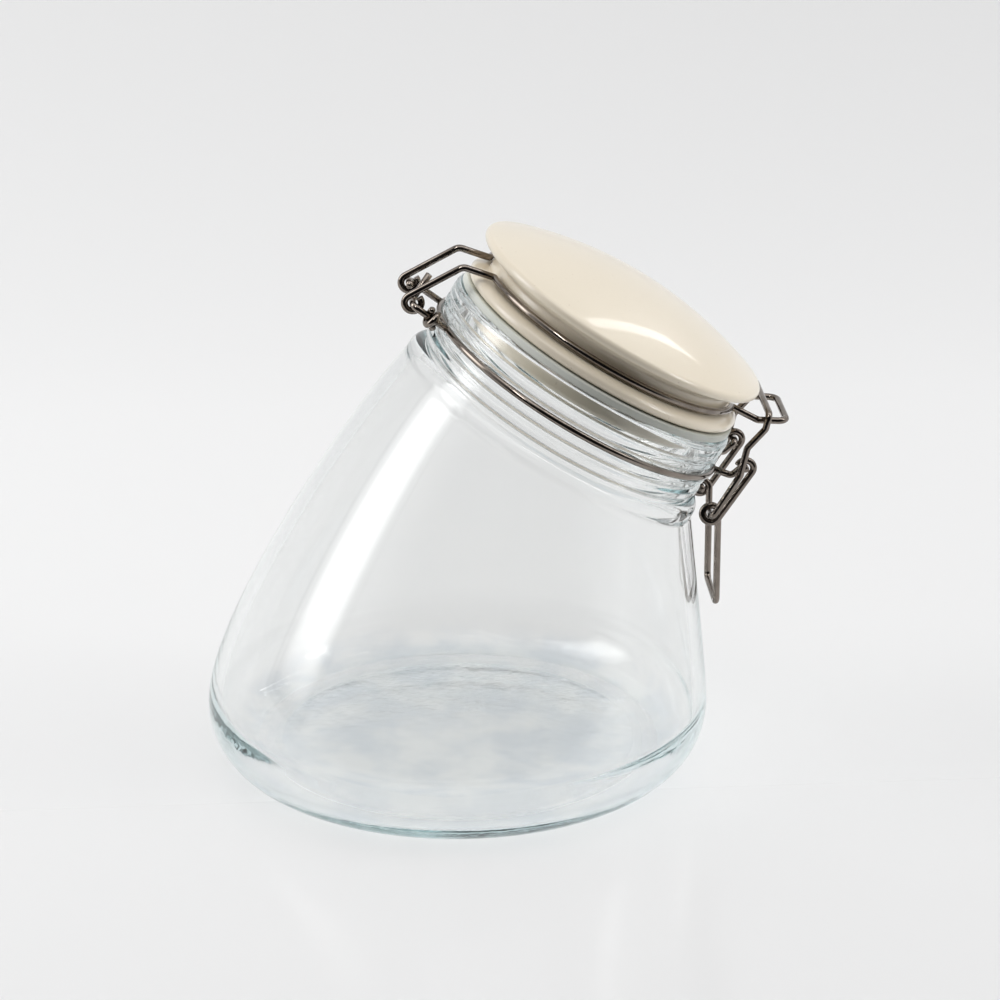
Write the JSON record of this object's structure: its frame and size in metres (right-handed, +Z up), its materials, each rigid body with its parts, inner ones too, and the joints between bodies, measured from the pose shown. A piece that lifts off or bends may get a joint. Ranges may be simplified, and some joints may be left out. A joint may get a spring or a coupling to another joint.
{
  "type": "storage jar",
  "caption": "Clear glass storage jar with a leaning mouth, a domed ceramic lid on a wire hinge, a rubber gasket and a wire toggle latch with a finger loop.",
  "frame": {"origin": "under the middle of the whole jar's box, on the plane that it stands on", "axes": "+Z up; +X towards the latch, the way the mouth leans; +Y to the left of someone who faces the latch's way, along the hinge axis"},
  "size_m": [0.1836, 0.16, 0.1725],
  "materials": {
    "clear_glass": "clear, smooth, with a faint grey-green tint where it is thick",
    "glazed_ceramic": "ivory glaze with a soft gloss",
    "seal_rubber": "translucent pale grey-green, smooth",
    "dark_wire": "dark nickel-plated drawn wire, satin gloss"
  },
  "bodies": {
    "jar": {"glass_body": "clear_glass", "neck_wire": "dark_wire"},
    "lid_unit": {"lid": "glazed_ceramic", "gasket": "seal_rubber", "lid_bail": "dark_wire"},
    "lever": {"latch_lever": "dark_wire"},
    "link": {"latch_link": "dark_wire"}
  },
  "joints": [
    {"name": "lid_hinge", "type": "hinge", "parent": "jar", "child": "lid_unit", "pos_m": [-0.02568, 0, 0.1543], "axis": [0, -1, 0], "range_deg": [0, 200]},
    {"name": "lever_hinge", "type": "hinge", "parent": "jar", "child": "lever", "pos_m": [0.07772, 0, 0.0984], "axis": [0, -1, 0], "range_deg": [0, 100]},
    {"name": "link_pivot", "type": "hinge", "parent": "lever", "child": "link", "pos_m": [0.06722, 0, 0.083], "axis": [0, -1, 0], "range_deg": [-80, 0]}
  ],
  "couplings": [
    {"joint": "link_pivot", "follows": "lever_hinge", "ratio": -0.8}
  ]
}
